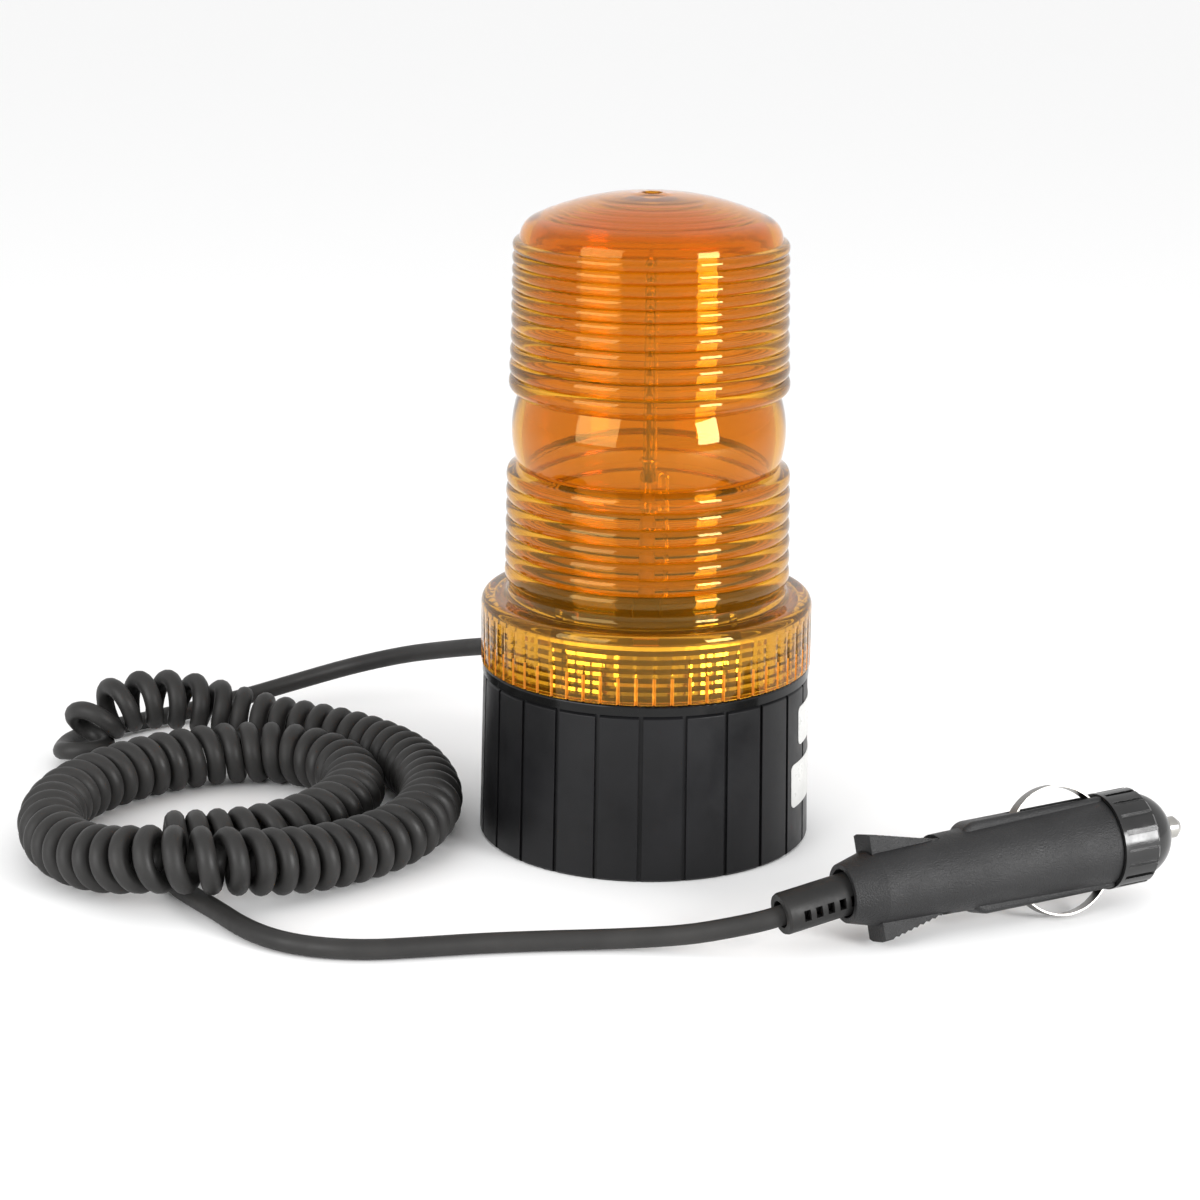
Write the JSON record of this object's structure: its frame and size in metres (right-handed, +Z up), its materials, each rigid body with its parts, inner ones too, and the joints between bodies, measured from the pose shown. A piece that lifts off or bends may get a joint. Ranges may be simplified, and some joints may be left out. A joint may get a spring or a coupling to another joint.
{
  "type": "magnetic base strobe beacon",
  "caption": "Magnetic-base amber strobe beacon for a vehicle roof, with a curly cord and a 12 V accessory-socket plug.",
  "frame": {"origin": "centre of the base's bottom face, on the magnet pad's face", "axes": "+Z up along the beacon axis; -Y towards the front, where the plug lies; -X towards the curly cord"},
  "size_m": [0.2628, 0.1683, 0.1475],
  "materials": {
    "housing_black": "satin moulded ABS",
    "lens_amber": "clear moulded polycarbonate",
    "gasket_black": "smooth",
    "pad_rubber": "matt",
    "plated_steel": "zinc plated",
    "ferrite": "sintered",
    "board_green": "solder mask",
    "core_ferrite": "wound core with tape",
    "can_black": "sleeved can",
    "coil_varnish": "varnished winding",
    "pillar_ivory": "moulded",
    "silicone_clear": "translucent",
    "tube_glass": "clear quartz",
    "tungsten": "drawn wire",
    "tinned_wire": "tinned",
    "reflector_white": "gloss white",
    "label_white": "blank vinyl",
    "cord_black": "matt polyurethane",
    "grommet_black": "moulded",
    "clamp_black": "moulded",
    "wire_red": "insulated wire",
    "plug_black": "fine spark texture",
    "nose_black": "phenolic",
    "spring_steel": "nickel plated",
    "pin_nickel": "nickel plated",
    "fuse_glass": "clear",
    "brass_cap": "plated"
  },
  "bodies": {
    "base": {"base_housing": "housing_black", "base_plate": "housing_black", "plate_screws": "plated_steel", "magnet_cup": "plated_steel", "magnet_ring": "ferrite", "magnet_pad": "pad_rubber", "magnet_screw": "plated_steel", "magnet_nut": "plated_steel", "lens_gasket": "gasket_black", "circuit_board": "board_green", "board_screws": "plated_steel", "transformer": "core_ferrite", "capacitor": "can_black", "trigger_coil": "coil_varnish", "tube_pillar": "pillar_ivory", "tube_cap": "silicone_clear", "flash_tube": "tube_glass", "tube_electrodes": "tungsten", "trigger_wire": "tinned_wire", "return_wire": "tinned_wire", "anode_post": "tinned_wire", "reflector_plate": "reflector_white", "rating_label_upper": "label_white", "rating_label_lower": "label_white", "cord_grommet": "grommet_black", "cord_clamp": "clamp_black", "supply_wires": "wire_red", "cord_lead_lamp": "cord_black", "cord_coil": "cord_black", "cord_lead_plug": "cord_black", "plug_shell_left": "plug_black", "plug_shell_right": "plug_black", "plug_screw": "plated_steel", "plug_fin_upper": "plug_black", "plug_fin_lower": "plug_black", "plug_fuse": "fuse_glass", "plug_fuse_caps": "brass_cap", "plug_boot": "grommet_black"},
    "lens": {"lens": "lens_amber"},
    "contact_upper": {"plug_contact_upper": "spring_steel"},
    "contact_lower": {"plug_contact_lower": "spring_steel"},
    "plug_nose": {"plug_nose_tip": "nose_black"},
    "plug_ring": {"plug_nose_ring": "nose_black"},
    "plug_pin": {"plug_centre_pin": "pin_nickel", "plug_pin_spring": "spring_steel"}
  },
  "joints": [
    {"name": "lens_twist", "type": "hinge", "parent": "base", "child": "lens", "pos_m": [0, 0, 0.05], "axis": [0, 0, 1], "range_deg": [0, 36]},
    {"name": "contact_upper_press", "type": "slide", "parent": "base", "child": "contact_upper", "axis": [0.1682, -0.263, -0.95], "range_m": [0, 0.003], "stiffness_N_per_m": 2500},
    {"name": "contact_lower_press", "type": "slide", "parent": "base", "child": "contact_lower", "axis": [-0.1682, 0.263, 0.95], "range_m": [0, 0.003], "stiffness_N_per_m": 2500},
    {"name": "plug_nose_advance", "type": "slide", "parent": "base", "child": "plug_nose", "axis": [0.909, 0.4143, 0.0462], "range_m": [0, 0.005]},
    {"name": "plug_ring_turn", "type": "hinge", "parent": "plug_nose", "child": "plug_ring", "pos_m": [0.10248, -0.04487, 0.0147], "axis": [0.909, 0.4143, 0.0462], "range_deg": [0, 900]},
    {"name": "plug_pin_press", "type": "slide", "parent": "plug_nose", "child": "plug_pin", "axis": [-0.909, -0.4143, -0.0462], "range_m": [0, 0.0025], "stiffness_N_per_m": 1500, "deforming": ["plug_pin_spring"]}
  ],
  "couplings": [
    {"joint": "plug_nose_advance", "follows": "plug_ring_turn", "m_per_rad": 0.00031831}
  ]
}
